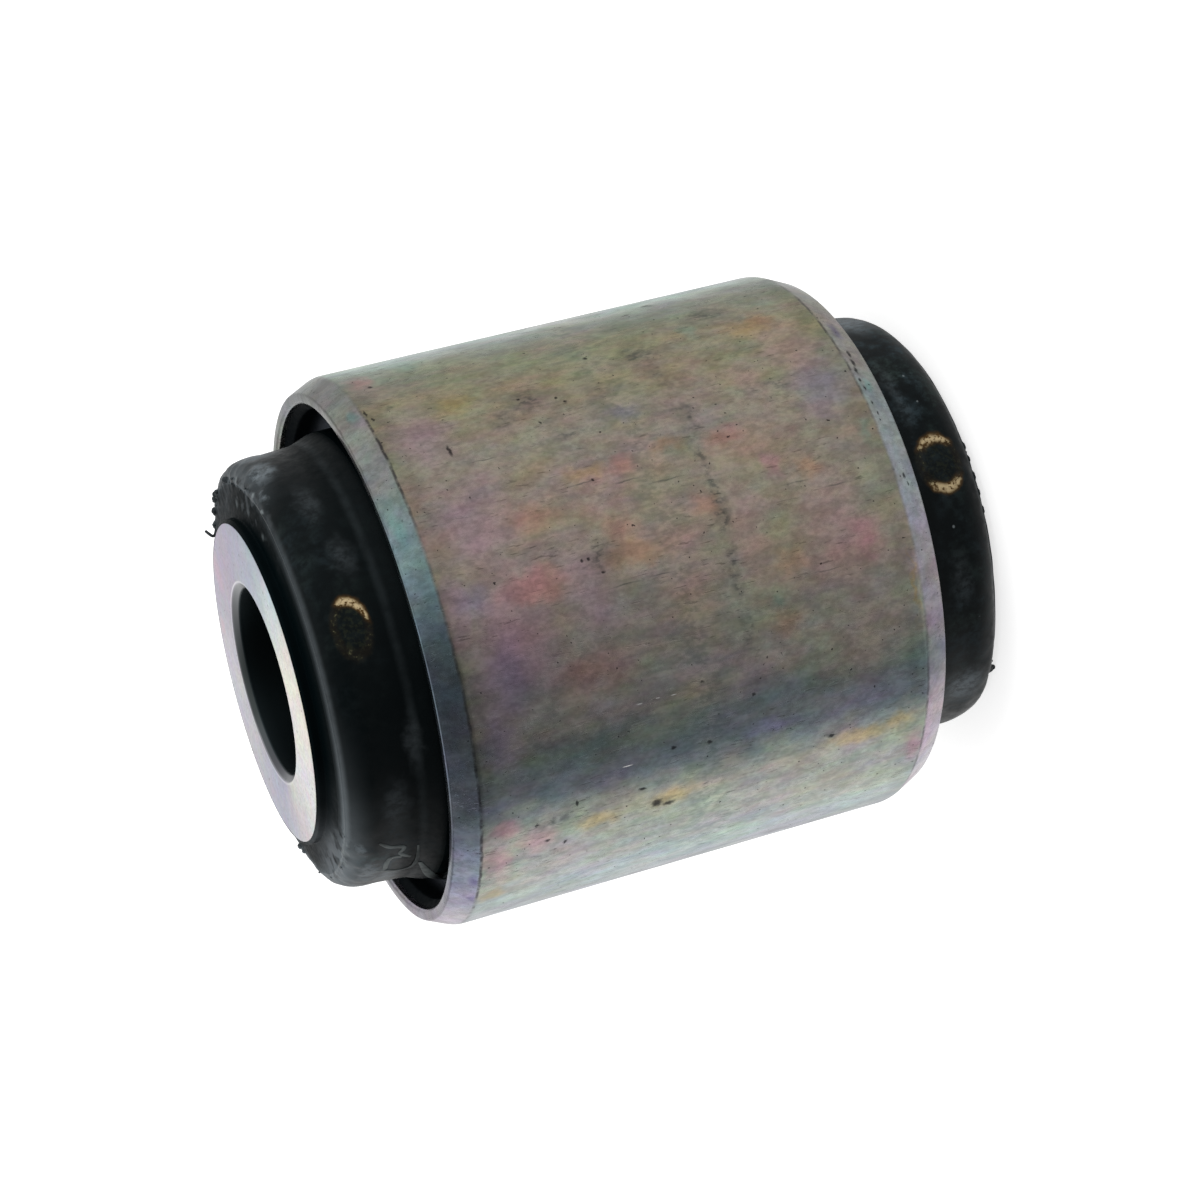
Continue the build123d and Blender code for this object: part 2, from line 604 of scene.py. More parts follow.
GRIME = [
    (-46, 6.0, 2.2, 2.0),
    (-50, 8.4, 1.4, 1.4),
    (-40, -3.4, 2.6, 2.4),
    (-56, 4.6, 1.0, 2.0),
    (-38, 15.4, 0.5, 0.9),
    (-60, -4.4, 2.2, 0.6),
    (-76, -4.0, 2.6, 0.5),
    (-104, -3.8, 2.0, 0.5),
    (-56, -12.0, 0.9, 1.6),
    (-83, 5.6, 1.8, 2.2),
    (-31, -10.0, 1.6, 2.2),
    (-134, 12.0, 0.6, 2.2),
    (-137, 3.6, 0.5, 1.6),
    (-132, -9.6, 0.5, 1.0),
    (-17, -7.6, 0.6, 0.8),
]
PITS = [
    (-37, 0.3, 0.20, 0.25),
    (-48.5, 3.5, 0.20, 0.20),
    (-47, 4.0, 0.15, 0.20),
    (-52.5, 6.0, 0.20, 0.15),
    (-45, 6.6, 0.15, 0.20),
    (-68, 4.2, 0.15, 0.18),
    (-83, 6.9, 0.20, 0.15),
    (-83, 6.4, 0.16, 0.15),
    (-86, 5.6, 0.18, 0.25),
    (-111.5, 0.2, 0.16, 0.20),
    (-124, 2.8, 0.20, 0.25),
    (-131, 10.2, 0.35, 0.15),
    (-132, 5.2, 0.20, 0.45),
    (-137, 4.0, 0.55, 0.55),
    (-138, 3.1, 0.35, 0.70),
    (-134, 13.2, 0.20, 0.30),
    (-132, -9.6, 0.18, 0.35),
    (-54, 13.0, 0.70, 0.20),
    (-53.3, -18.05, 0.50, 0.20),
    (-55.8, -17.95, 0.55, 0.25),
    (-57.8, -17.85, 0.45, 0.20),
    (-60.5, -17.75, 0.25, 0.15),
    (-62.5, -17.80, 0.30, 0.12),
    (-66.0, -17.85, 0.25, 0.14),
    (-68.5, -17.95, 0.22, 0.14),
    (-70.0, -17.90, 0.14, 0.12),
    (-82.3, -18.20, 0.32, 0.18),
    (-84.0, -18.35, 0.25, 0.12),
    (-38.0, 17.20, 0.60, 0.14),
    (-40.5, 16.90, 0.30, 0.14),
    (-28.0, 15.60, 0.30, 0.25),
    (-125, 0.0, 0.25, 0.30),
    (-139, 12.4, 0.22, 0.30),
    (-141, 11.0, 0.30, 0.22),
    (-117, -3.6, 0.20, 0.20),
]  # each mark is (angle, height, half width across, half width along), in degrees and mm
HAIRLINES = [
    (-68.2, 5.2, 0.10, 1.7),
    (-69.8, 2.2, 0.10, 1.7),
    (-71.6, -1.0, 0.10, 1.7),
    (-78.4, -10.0, 0.11, 1.6),
    (-80.8, -12.8, 0.10, 1.4),
    (-89.4, 4.4, 0.09, 1.7),
    (-89.2, 1.6, 0.09, 1.2),
    (-58.0, 11.0, 0.08, 1.5),
    (-96.5, -10.5, 0.08, 1.6),
]
BRIGHT_SCRATCHES = [
    (-125.3, 6.3, 0.06, 0.50),
    (-112.6, 5.0, 0.07, 0.30),
    (-112.4, 3.6, 0.05, 0.22),
    (-112.6, 2.4, 0.05, 0.30),
]
HOOP_HEIGHT = -3.9  # a worn hoop runs round the sleeve here
HOOP = [(-180, 0.0), (-125, 0.2), (-114, 0.9), (-96, 1.0), (-64, 1.0), (-54, 0.6), (-42, 0.2), (180, 0.0)]
FRONT_EDGE_LINE = [
    (-180, 0.2),
    (-170, 0.8),
    (-150, 1.0),
    (-130, 0.9),
    (-112, 0.65),
    (-95, 0.5),
    (-80, 0.35),
    (-68, 0.5),
    (-60, 0.9),
    (-50, 1.0),
    (-42, 0.9),
    (-34, 0.2),
    (60, 0.3),
    (180, 0.2),
]
BACK_EDGE_LINE = [
    (-180, 0.3),
    (-150, 0.8),
    (-125, 0.6),
    (-105, 0.1),
    (-72, 0.2),
    (-60, 0.7),
    (-40, 0.8),
    (-20, 0.4),
    (180, 0.3),
]
SLEEVE_BLOTS = [
    (MAUVE, (181, 147, 174), 0.46),
    (ROSE, (200, 148, 158), 0.34),
    (OLIVE, (176, 178, 136), 0.30),
    (PINK, (204, 128, 124), 0.36),
    (MAGENTA, (204, 120, 156), 0.30),
    (VIOLET, (134, 128, 178), 0.34),
    (GOLD, (206, 172, 98), 0.38),
    (ORANGE, (206, 140, 92), 0.30),
    (TEAL, (124, 170, 156), 0.40),
]  # marks, their colour and how strong it is
TAPER_BLOTS = [(TAPER_TEAL, (128, 184, 178), 0.5), (TAPER_VIOLET, (92, 80, 132), 0.6)]
TAPER_EDGE_GREY = (54, 50, 56)
GRIME_GREY = (72, 79, 82)
HAIRLINE_GREY = (76, 80, 80)
PIT_BLACK = (30, 30, 36)
BARE_METAL = (250, 250, 248)

# %% [markdown]
# ## The outer sleeve
#
# A tube cut to length, with a long shallow taper outside each end that starts it into the arm's eye.
# The plating follows the tool marks: colour drifts round the axis, the tapers have a cooler tint,
# and a worn hoop runs round the middle. Every mark is placed in millimetres on the piece, so it stays
# put from any view.

# %% Outer sleeve finish
outer_radius = sleeve_high.x / MM
sleeve_end = sleeve_high.z / MM
mouth_radius = rubber_high.x / MM
LEAD_IN_LENGTH = 1.9
LEAD_IN_DEPTH = 0.88
LEAD_IN_ROUNDING = 0.33
MOUTH_CHAMFER = 0.2


def sleeve_radius(height):
    """The outer sleeve's radius at a height, with its tapered ends."""
    into_taper = max(0.0, abs(height) - (sleeve_end - LEAD_IN_LENGTH)) / LEAD_IN_LENGTH
    return outer_radius - LEAD_IN_DEPTH * into_taper


def blotted(tree, finish, place, reach, blots):
    """A finish with soft blots of colour, whose edges wander by up to reach millimetres."""
    for marks, tone, strength in blots:
        blot = spots(tree, warp(tree, place, 1.2, reach), sleeve_radius, marks, 0.9)
        finish = lay_on(tree, finish, blot, tone, strength)
    return finish


def zinc_colours(tree, place, along):
    """The rainbow tints of the plating, with its cooler tapers and the dark line at their edge."""
    drifted = warp(tree, place, 2.5, 1.6)
    finish = around(tree, drifted, SLEEVE_BANDS)
    finish = mottle(tree, finish, along, 3.6, 0.10)
    finish = mottle(tree, finish, along, 1.2, 0.07)
    finish = blotted(tree, finish, place, 0.9, SLEEVE_BLOTS)
    height = height_of(tree, warp(tree, place, 0.8, 0.10))
    on_front = fade(tree, height, -1.0, 1.0)
    tapers = [around(tree, drifted, bands) for bands in (BACK_TAPER_BANDS, FRONT_TAPER_BANDS)]
    taper = mottle(tree, blend_colour(tree, on_front, *tapers), place, 2.4, 0.10)
    taper = blotted(tree, taper, place, 0.5, TAPER_BLOTS)
    end = calc(tree, "ABSOLUTE", height)
    edge = sleeve_end - LEAD_IN_LENGTH
    finish = shade(tree, finish, fade(tree, end, edge - 2.6, edge - 0.4), 1.0, 0.85)
    finish = blend_colour(tree, fade(tree, end, edge - 0.15, edge + 0.25), finish, taper)
    # a darker broken line along each taper's edge
    lines = [level_round(tree, place, line) for line in (BACK_EDGE_LINE, FRONT_EDGE_LINE)]
    on_edge = fade(tree, away_from(tree, end, edge + 0.02), 0.17, 0.03)
    broken = fade(tree, clouds(tree, place, 0.9, 3.0, 0.6), 0.38, 0.56, 0.25, 1.0)
    line = times(tree, blend_colour(tree, on_front, *lines), on_edge, broken)
    finish = lay_on(tree, finish, line, TAPER_EDGE_GREY, 0.85)
    return shade(tree, finish, fade(tree, end, sleeve_end - 0.16, sleeve_end - 0.06), 1.0, 0.62)


def sleeve_finish():
    """Yellow passivated zinc with grime, short scratches, a faint hoop and pits."""
    material, tree, shader = new_material("sleeve_plating")
    place = millimetres(tree)
    along = millimetres(tree, (1, 1, 0.55))
    finish = zinc_colours(tree, place, along)

    grain = clouds(tree, millimetres(tree, (1, 1, 0.6)), 0.30, 4.0, 0.62)
    finish = shade(tree, finish, fade(tree, grain, 0.3, 0.7), 0.90, 1.10)
    blotchy = clouds(tree, millimetres(tree, (1, 1, 0.7)), 1.2, 4.0, 0.62)
    finish = shade(tree, finish, fade(tree, blotchy, 0.34, 0.66), 0.88, 1.11)
    scored = clouds(tree, millimetres(tree, (1, 1, 0.14)), 0.16, 2.0, 0.6)
    patches = fade(tree, clouds(tree, along, 2.6, 2.0), 0.38, 0.60)
    scratches = times(tree, fade(tree, scored, 0.60, 0.70), patches)
    finish = shade(tree, finish, scratches, 1.0, 0.68)

    speckled = fade(tree, clouds(tree, along, 0.5, 4.0, 0.7), 0.42, 0.62)
    grime = spots(tree, warp(tree, place, 1.4, 1.0), sleeve_radius, GRIME, 0.9)
    from_hoop = away_from(tree, height_of(tree, warp(tree, place, 1.0, 0.35)), HOOP_HEIGHT)
    uneven = fade(tree, clouds(tree, place, 1.8), 0.42, 0.60)
    hoop = times(tree, fade(tree, from_hoop, 0.95, 0.10), uneven, level_round(tree, place, HOOP))
    dirty = calc(tree, "MAXIMUM", times(tree, grime, 0.9), hoop)
    dirty = times(tree, dirty, fade(tree, speckled, 0.0, 1.0, 0.30, 1.0))
    finish = lay_on(tree, finish, dirty, GRIME_GREY, 0.60)

    hairlines = spots(tree, warp(tree, place, 1.2, 0.15), sleeve_radius, HAIRLINES, 0.9)
    finish = lay_on(tree, finish, hairlines, HAIRLINE_GREY, 0.6)
    pitted = spots(tree, warp(tree, place, 0.3, 0.18), sleeve_radius, PITS, 0.7)
    pitted = calc(tree, "MAXIMUM", pitted, fade(tree, clouds(tree, place, 0.28, 1.0, 0.4), 0.745, 0.79))
    finish = lay_on(tree, finish, pitted, PIT_BLACK, 0.8)
    bared = spots(tree, place, sleeve_radius, BRIGHT_SCRATCHES, 0.6)
    finish = lay_on(tree, finish, bared, BARE_METAL, 0.9)

    shader.inputs["Metallic"].default_value = 1.0
    rough = fade(tree, clouds(tree, along, 1.5, 4.0), 0.3, 0.7, 0.22, 0.33)
    rough = calc(tree, "ADD", rough, times(tree, scratches, 0.15))
    rough = calc(tree, "ADD", rough, times(tree, calc(tree, "MAXIMUM", pitted, dirty), 0.25))
    relief = calc(tree, "SUBTRACT", times(tree, grain, 0.35), scratches)
    relief = calc(tree, "SUBTRACT", relief, pitted)
    wire(tree, shader, finish, rough, relief, 0.25, 0.03)
    return material


# %% Turn the outer sleeve
OUTER_STEPS = 36  # steps in a wedge
TUBE_STEP = 1.0  # between the rings of points along a tube, in mm

outer_section = section(
    both_ends(
        [
            (mouth_radius, sleeve_end - MOUTH_CHAMFER, 0.06),
            (mouth_radius + MOUTH_CHAMFER, sleeve_end, 0.06),
            (outer_radius - LEAD_IN_DEPTH, sleeve_end, 0.12),
            (outer_radius, sleeve_end - LEAD_IN_LENGTH, LEAD_IN_ROUNDING),
        ]
    ),
    TUBE_STEP,
)
outer_shape = spin(outer_section, OUTER_STEPS)
finish_piece("outer_tube", outer_shape, [sleeve_finish()], "outer_sleeve")

# %% [markdown]
# ## The inner sleeve
#
# The thick inner sleeve is turned, bored and chamfered. Its end faces are bright and satin, with a
# pale lavender and cream tint, and a painted sheen that changes round the face: lighter on two
# opposite sides, as turning grooves would reflect. The bore's chamfer gets painted reflection and a
# painted highlight on its lip, and the bore is painted dark as shade. One rim is a little worn,
# which a small move of its points shows.


# %% Inner sleeve finish
inner_radius = inner_high.x / MM
inner_end = inner_high.z / MM
bore_radius = bolt_bore["dims"]["r_mm"]
BORE_CHAMFER = 0.5
RIM_CHAMFER = 0.2
# tints of the end face with a painted sheen: lighter near -95 and 80 degrees, darker near -15 and 160
FACE_TINTS_AND_SHEEN = [
    (-180, (204, 199, 202)),
    (-160, (228, 224, 222)),
    (-140, (238, 238, 238)),
    (-95, (255, 247, 232)),
    (-60, (206, 219, 224)),
    (-40, (174, 182, 197)),
    (-15, (170, 173, 191)),
    (20, (182, 167, 190)),
    (50, (188, 182, 199)),
    (80, (208, 204, 211)),
    (110, (197, 197, 203)),
    (140, (179, 176, 196)),
    (160, (170, 172, 193)),
    (180, (204, 199, 202)),
]
# painted reflection round the bore's chamfer: darker on the far side, near 80 to 105 degrees
CHAMFER_PAINTED_REFLECTION = [
    (-180, (112, 114, 118)),
    (-90, (150, 150, 152)),
    (0, (128, 130, 132)),
    (40, (124, 126, 128)),
    (60, (104, 108, 110)),
    (80, (80, 86, 86)),
    (105, (76, 82, 82)),
    (118, (90, 96, 98)),
    (150, (104, 106, 112)),
    (180, (112, 114, 118)),
]
LIP_SHINE = [(-180, 0.3), (-120, 0.0), (-30, 0.1), (10, 0.7), (60, 0.7), (110, 0.5), (180, 0.3)]
CHAMFER_WEAR = [(-180, 0.2), (0, 0.2), (80, 0.3), (110, 0.3), (122, 0.8), (150, 0.8), (180, 0.2)]
FACE_ROSE = [(35, inner_end, 2.2, 1.0), (62, inner_end, 1.4, 1.0)]
FACE_ROSE_RADIUS = 11.0
FACE_PITS = [(-54, 10.5), (-60, 10.4), (-117, 8.7), (114, 11.9), (-136, 11.4), (-97, 11.6), (-20, 10.0)]
FACE_PIT_SIZE = (0.15, 0.3)
ROSE_TINT = (232, 176, 190)
LIP_HIGHLIGHT_WHITE = (246, 246, 246)
KNOCKED_GREY = (190, 190, 196)
BORE_SHADE_GREY = (50, 60, 63)


def face_finish():
    """Bright turned zinc with a painted sheen on the faces and chamfer, and painted shade in the bore."""
    material, tree, shader = new_material("face_plating")
    place = millimetres(tree)
    finish = mottle(tree, around(tree, warp(tree, place, 2.0, 1.5), FACE_TINTS_AND_SHEEN), place, 2.6, 0.08)
    finish = mottle(tree, finish, place, 0.7, 0.05)
    rosy = spots(tree, warp(tree, place, 1.0, 0.6), FACE_ROSE_RADIUS, FACE_ROSE, 0.9)
    finish = lay_on(tree, finish, rosy, ROSE_TINT, 0.35)
    grain = clouds(tree, place, 0.3, 4.0, 0.65)
    finish = shade(tree, finish, fade(tree, grain, 0.3, 0.7), 0.85, 1.04)
    specks = fade(tree, clouds(tree, place, 0.35, 2.0, 0.5), 0.66, 0.72)
    for angle, radius in FACE_PITS:
        pit = spots(tree, place, radius, [(angle, inner_end, *FACE_PIT_SIZE)])
        specks = calc(tree, "MAXIMUM", specks, pit)
    finish = shade(tree, finish, specks, 1.0, 0.62)

    radius = radius_of(tree, place)
    chamfer_edge = bore_radius + BORE_CHAMFER
    on_chamfer = fade(tree, radius, chamfer_edge + 0.02, chamfer_edge - 0.08)
    # the chamfer's colour is painted reflection
    finish = blend_colour(tree, on_chamfer, finish, around(tree, place, CHAMFER_PAINTED_REFLECTION))
    # a painted highlight along the lip of the bore's chamfer
    on_lip = fade(tree, away_from(tree, radius, chamfer_edge + 0.08), 0.11, 0.03)
    finish = lay_on(tree, finish, times(tree, on_lip, level_round(tree, place, LIP_SHINE)), LIP_HIGHLIGHT_WHITE)
    knocked = fade(tree, radius, chamfer_edge - 0.14, chamfer_edge - 0.02)
    knocked = times(tree, knocked, on_chamfer, level_round(tree, place, CHAMFER_WEAR))
    finish = lay_on(tree, finish, knocked, KNOCKED_GREY)
    # painted shade darkens the whole bore
    in_bore = fade(tree, radius, bore_radius + 0.12, bore_radius + 0.02)
    finish = lay_on(tree, finish, in_bore, BORE_SHADE_GREY)

    shader.inputs["Metallic"].default_value = 1.0
    rough = fade(tree, in_bore, 0.0, 1.0, 0.3, 0.5)
    rough = calc(tree, "ADD", rough, times(tree, specks, 0.1))
    wire(tree, shader, finish, rough, grain, 0.12, 0.02)
    return material


# %% Move the points of a round shape
def bell(angle, centre, half_width):
    """1 at the centre angle, falling smoothly to 0 at half_width degrees from it."""
    away = abs((angle - centre + 180) % 360 - 180) / half_width
    return (1 - away * away) ** 2 if away < 1 else 0.0


def rough_at(place, size):
    """Noise from -1 to 1 at a place in metres, with bumps of about that size in mm."""
    return noise.noise(place / (size * MM))


def push(shape, move):
    """Moves each point by move(place, angle, radius, height), which gives how far out and up, in mm."""
    for point in shape.verts:
        angle = math.degrees(math.atan2(point.co.y, point.co.x)) % 360
        radius = point.co.xy.length / MM
        out, up = move(point.co, angle, radius, point.co.z / MM)
        point.co += Vector(polar(angle, out, up)) * MM


# %% Turn the inner sleeve
INNER_STEPS = 30
WORN_DEPTH = 0.6  # how far the rim's wear reaches, inwards and along


def wear_the_rim(place, angle, radius, height):
    """The front rim is knocked back a little on one side."""
    if height < inner_end - WORN_DEPTH or radius < inner_radius - WORN_DEPTH:
        return 0.0, 0.0
    worn = 0.03 * bell(angle, 110, 40) + 0.03 * max(0.0, rough_at(place, 1.2))
    return -worn * (radius - inner_radius + WORN_DEPTH) / WORN_DEPTH, 0.0


inner_section = section(
    both_ends(
        [
            (bore_radius, inner_end - BORE_CHAMFER, 0.05),
            (bore_radius + BORE_CHAMFER, inner_end, 0.05),
            (inner_radius - RIM_CHAMFER, inner_end, 0.08),
            (inner_radius, inner_end - RIM_CHAMFER, 0.08),
        ]
    ),
    TUBE_STEP,
)
inner_shape = spin(inner_section, INNER_STEPS)
push(inner_shape, wear_the_rim)
finish_piece("inner_tube", inner_shape, [face_finish()], "inner_sleeve")

# %% [markdown]
# ## Black rubber
#
# Rubber is nearly black, with a soft sheen that grows at grazing angles. Dust makes it look real: it
# dulls the shoulders, catches in folds and leaves scuffed edges grey. Painted highlights lighten the
# mould line, the front shoulder and the torn lips, and painted shade darkens the foot, the end face
# beside the steel and hollows in torn skin. Two dabs of gold paint, left by an inspector, are broken
# speckled rings on the collars. All of it is masks over one black. The same finish is made three
# times: for the collars, with less gloss for the end faces and the groove, and greyer for torn skin.

# %% The collar's sizes
CREASE_RADIUS = 14.9  # where the collar's end face meets its round shoulder
CREASE_HEIGHT = 25.45
FACE_RISE = 0.4  # the end face climbs this much towards the inner sleeve
SKIN_WALL = 0.1  # the skin of rubber on the inner sleeve's side
SHOULDER_CORNER = (16.205, 24.77)
SHOULDER_ROUNDING = 1.47
SEAM_RADIUS = 14.1  # a faint line round the end face
COLLAR_RADIUS = 16.4
FOOT = (16.5, 20.2)
FLARE = (17.1, 18.6)
GROOVE_FLOOR = 16.05
LINING_RADIUS = 18.75
LINING_TOP = 18.65
LIP_HEIGHT = 0.5


# %% Rubber finish
# the mould line's grey is real scuffing and also a painted highlight along the crease
CREASE_SCUFF_AND_HIGHLIGHT = [
    (-180, 0.80),
    (-162, 1.00),
    (-145, 1.00),
    (-125, 0.62),
    (-105, 0.40),
    (-85, 0.34),
    (-60, 0.30),
    (-45, 0.20),
    (-30, 0.10),
    (25, 0.12),
    (90, 0.34),
    (140, 0.50),
    (180, 0.80),
]  # how bright the scuffed mould line is round the collar, from (angle, level) stops
FRONT_DUST = [
    (-180, 1.00),
    (-164, 1.00),
    (-150, 0.95),
    (-138, 0.15),
    (-120, 0.00),
    (-105, 0.06),
    (-90, 0.14),
    (-75, 0.18),
    (-60, 0.34),
    (-45, 0.12),
    (-30, 0.04),
    (-15, 0.06),
    (10, 0.60),
    (90, 0.60),
    (180, 1.00),
]  # how dusty the front collar's side is
BACK_DUST = [
    (-180, 0.8),
    (-150, 0.5),
    (-120, 0.45),
    (-95, 0.3),
    (-75, 0.4),
    (-60, 1.0),
    (120, 1.0),
    (180, 0.8),
]
# a painted highlight, broad round the front shoulder, by angle
SHOULDER_HIGHLIGHT = [
    (-180, 0.9),
    (-158, 1.0),
    (-145, 0.5),
    (-124, 0.1),
    (-100, 0.0),
    (-42, 0.0),
    (-24, 0.4),
    (0, 0.4),
    (25, 0.2),
    (180, 0.9),
]
RING_DUST = [
    (-180, 0.30),
    (-162, 1.00),
    (-150, 0.35),
    (-140, 0.08),
    (-120, 0.0),
    (-15, 0.0),
    (0, 0.15),
    (40, 0.12),
    (170, 0.06),
    (180, 0.30),
]  # and how dusty the end face is, from the same kind of stops
OUTER_PALE = [
    (345.6, 25.3, 0.57, 0.41),
    (329.6, 25.3, 0.43, 0.41),
    (320.8, 25.4, 0.30, 0.30),
    (209, 25.4, 0.54, 0.47),
    (213.5, 25.3, 0.41, 0.41),
    (203, 25.2, 0.68, 0.54),
]
INNER_PALE = [
    (347.3, 25.7, 0.54, 0.54),
    (318, 25.6, 0.41, 0.41),
    (333, 25.6, 0.47, 0.47),
    (207, 25.6, 0.54, 0.54),
]
TORN_DEEP = [
    (338, 25.4, 0.57, 0.54),
    (349, 25.4, 0.49, 0.54),
    (5, 25.5, 0.68, 0.54),
    (15, 25.5, 0.68, 0.54),
    (324, 25.5, 0.35, 0.41),
    (215, 25.5, 0.54, 0.47),
    (197, 25.5, 0.61, 0.47),
]
TORN_PATCHES = [
    (15.1, OUTER_PALE, (120, 128, 130), 0.65),
    (13.4, INNER_PALE, (104, 112, 114), 0.38),
    (14.4, TORN_DEEP, (8, 13, 15), 0.90),
]  # torn places on the end face: their radius, marks, colour and strength
DUSTY = [
    (-147, 24.8, 2.0, 1.0),
    (-160, 23.9, 3.4, 1.6),
    (-176, 24.4, 3.4, 2.2),
    (-165, 22.4, 2.4, 1.3),
    (-24, 24.2, 3.0, 1.5),
    (-35, 25.1, 1.6, 0.6),
    (-8, 23.6, 3.4, 2.4),
    (-20, -23.2, 4.0, 2.4),
    (-146, -23.4, 3.0, 2.2),
]
FAINT = [
    (-114, 20.4, 3.0, 0.9),
    (-131, 22.0, 3.2, 1.4),
    (-152, 22.3, 2.6, 1.6),
    (-45, 22.6, 3.0, 1.2),
    (-64, 21.8, 2.4, 1.3),
    (-56, -22.0, 4.6, 0.8),
    (-110, -22.8, 3.0, 1.2),
]  # smears of dust, and faint ones
FLECKS = [
    (-96, -22.75, 0.16, 0.14),
    (-103, -24.3, 0.14, 0.12),
    (-122, -24.05, 0.13, 0.22),
    (-61, -23.35, 0.14, 0.14),
    (-52, -23.4, 0.16, 0.12),
    (-147.5, 24.9, 0.30, 0.22),
    (-40, 25.0, 0.16, 0.14),
    (-48, 25.3, 0.14, 0.10),
]
# painted shade in hollows of the torn skin
SHADED_HOLLOWS = [(204.5, 21.5, 1.3, 0.55), (209.5, 22.3, 0.5, 0.35), (203.0, 22.05, 0.7, 0.3)]  # in torn skin
PAINT_RINGS = [
    (277.4, 22.75, 1.95, 1.2, 0.5),
    (280.9, -23.10, 1.95, 1.55, 0.0),
]  # angle, height, half width across and along, and which way the thick paint leans
FRONT_TEARS = [(203, 27, 0.8), (165, 28, 0.5), (342, 40, 0.95), (18, 30, 0.6)]
BACK_TEARS = [(275, 26, 0.5), (212, 20, 0.6)]  # where the flash was torn off: angle, half width, depth

RUBBER_BLACK = (3, 9, 11)
GREEN_DUST = (46, 60, 57)
BLUE_DUST = (48, 62, 68)
SMEAR_AND_HIGHLIGHT_GREY = (106, 114, 119)
SOOT_GREY = (120, 126, 131)
SCUFF_AND_HIGHLIGHT_GREY = (96, 103, 107)
FOOT_GREY = (58, 65, 68)
TORN_GREY = (88, 94, 98)
TORN_BLACK = (10, 15, 17)
HOLLOW_SHADE = (10, 15, 16)
FLECK_GREY = (136, 144, 147)
WORN_HIGHLIGHT_GREY = (108, 115, 114)
GROOVE_BLACK = (14, 19, 22)
GROOVE_DUST = (66, 70, 76)
PAINT_STAIN = (60, 63, 40)
PAINT_FRINGE = (84, 58, 20)
THIN_GOLD = (96, 94, 70)
THICK_GOLD = (192, 172, 134)


def fold(angle, side):
    """How torn and wrinkled the crease is, from 0 to 1, on the front (side 1) or the back (side -1)."""
    tears = FRONT_TEARS if side > 0 else BACK_TEARS
    return max(depth * bell(angle, centre, half_width) for centre, half_width, depth in tears)


def collar_places(tree):
    """Where a point lies on the collars, as levels and millimetres, and two noises to share."""
    place = millimetres(tree)
    height = height_of(tree, place)
    end = calc(tree, "ABSOLUTE", height)
    radius = radius_of(tree, place)
    inwards = calc(tree, "SUBTRACT", CREASE_RADIUS, radius)
    upwards = calc(tree, "SUBTRACT", end, CREASE_HEIGHT)
    offset = add_node(tree, "ShaderNodeCombineXYZ", {0: inwards, 1: upwards}).outputs[0]
    return SimpleNamespace(
        place=place,
        end=end,
        radius=radius,
        inwards=inwards,
        from_crease=vector_calc(tree, "LENGTH", offset),
        # less dust towards the foot: painted shade of the groove
        out_of_foot_shade=fade(tree, end, FOOT[1] + 0.2, FOOT[1] + 2.2, 0.35, 1.0),
        on_front=fade(tree, height, -1.0, 1.0),
        on_ring=fade(tree, inwards, 0.0, 0.2),
        cloudy=clouds(tree, place, 2.2, 5.0, 0.62),
        fine=clouds(tree, millimetres(tree, (1, 1, 0.8)), 0.60, 4.0, 0.7),
    )


def by_end(tree, at, front, back):
    """A level that changes round the axis, with its own stops for each end of the bush."""
    levels = [level_round(tree, at.place, stops) for stops in (back, front)]
    return blend_colour(tree, at.on_front, *levels)


def dusted(tree, at):
    """Black rubber under a film of dust and smears of it, a painted shoulder highlight, and painted shade
    by the foot and beside the steel. Returns where the smears and the highlight are, too.
    """
    green_or_blue = fade(tree, clouds(tree, at.place, 4.0), 0.4, 0.6)
    tint = blend_colour(tree, green_or_blue, colour(*GREEN_DUST), colour(*BLUE_DUST))
    patchy = fade(tree, at.cloudy, 0.40, 0.64, 0.10, 1.0)
    grainy = fade(tree, at.fine, 0.38, 0.62, 0.15, 1.0)
    off_ring = fade(tree, at.on_ring, 0.0, 1.0, 0.75, 0.05)
    # the dust thins towards the foot, as painted shade of the groove
    dust = times(tree, patchy, grainy, off_ring, by_end(tree, at, FRONT_DUST, BACK_DUST), at.out_of_foot_shade)
    finish = blend_colour(tree, dust, colour(*RUBBER_BLACK), tint)

    drifted = warp(tree, at.place, 1.0, 0.8)
    smears_and_highlight = spots(tree, drifted, COLLAR_RADIUS, DUSTY, 0.95)
    faint = times(tree, spots(tree, drifted, COLLAR_RADIUS, FAINT, 0.95), 0.16)
    smears_and_highlight = times(tree, calc(tree, "MAXIMUM", smears_and_highlight, faint), fade(tree, at.fine, 0.30, 0.62, 0.25, 1.0))
    # dust smears, and a broad painted highlight on the front shoulder
    by_shoulder = fade(tree, at.from_crease, 2.6, 0.2)
    broad_highlight = times(tree, by_shoulder, level_round(tree, at.place, SHOULDER_HIGHLIGHT), at.on_front)
    smears_and_highlight = times(tree, calc(tree, "MAXIMUM", smears_and_highlight, broad_highlight), calc(tree, "SUBTRACT", 1.0, at.on_ring))
    finish = lay_on(tree, finish, smears_and_highlight, SMEAR_AND_HIGHLIGHT_GREY, 0.9)

    # dust on the end face, thinner beside the proud steel: painted shade there
    out_of_steel_shade = fade(tree, at.inwards, 2.5, 0.2, 0.35, 1.0)
    uneven = fade(tree, at.cloudy, 0.35, 0.65, 0.7, 1.0)
    ring_dust_and_shade = times(tree, level_round(tree, at.place, RING_DUST), out_of_steel_shade, at.on_ring, uneven)
    return lay_on(tree, finish, ring_dust_and_shade, SOOT_GREY), smears_and_highlight


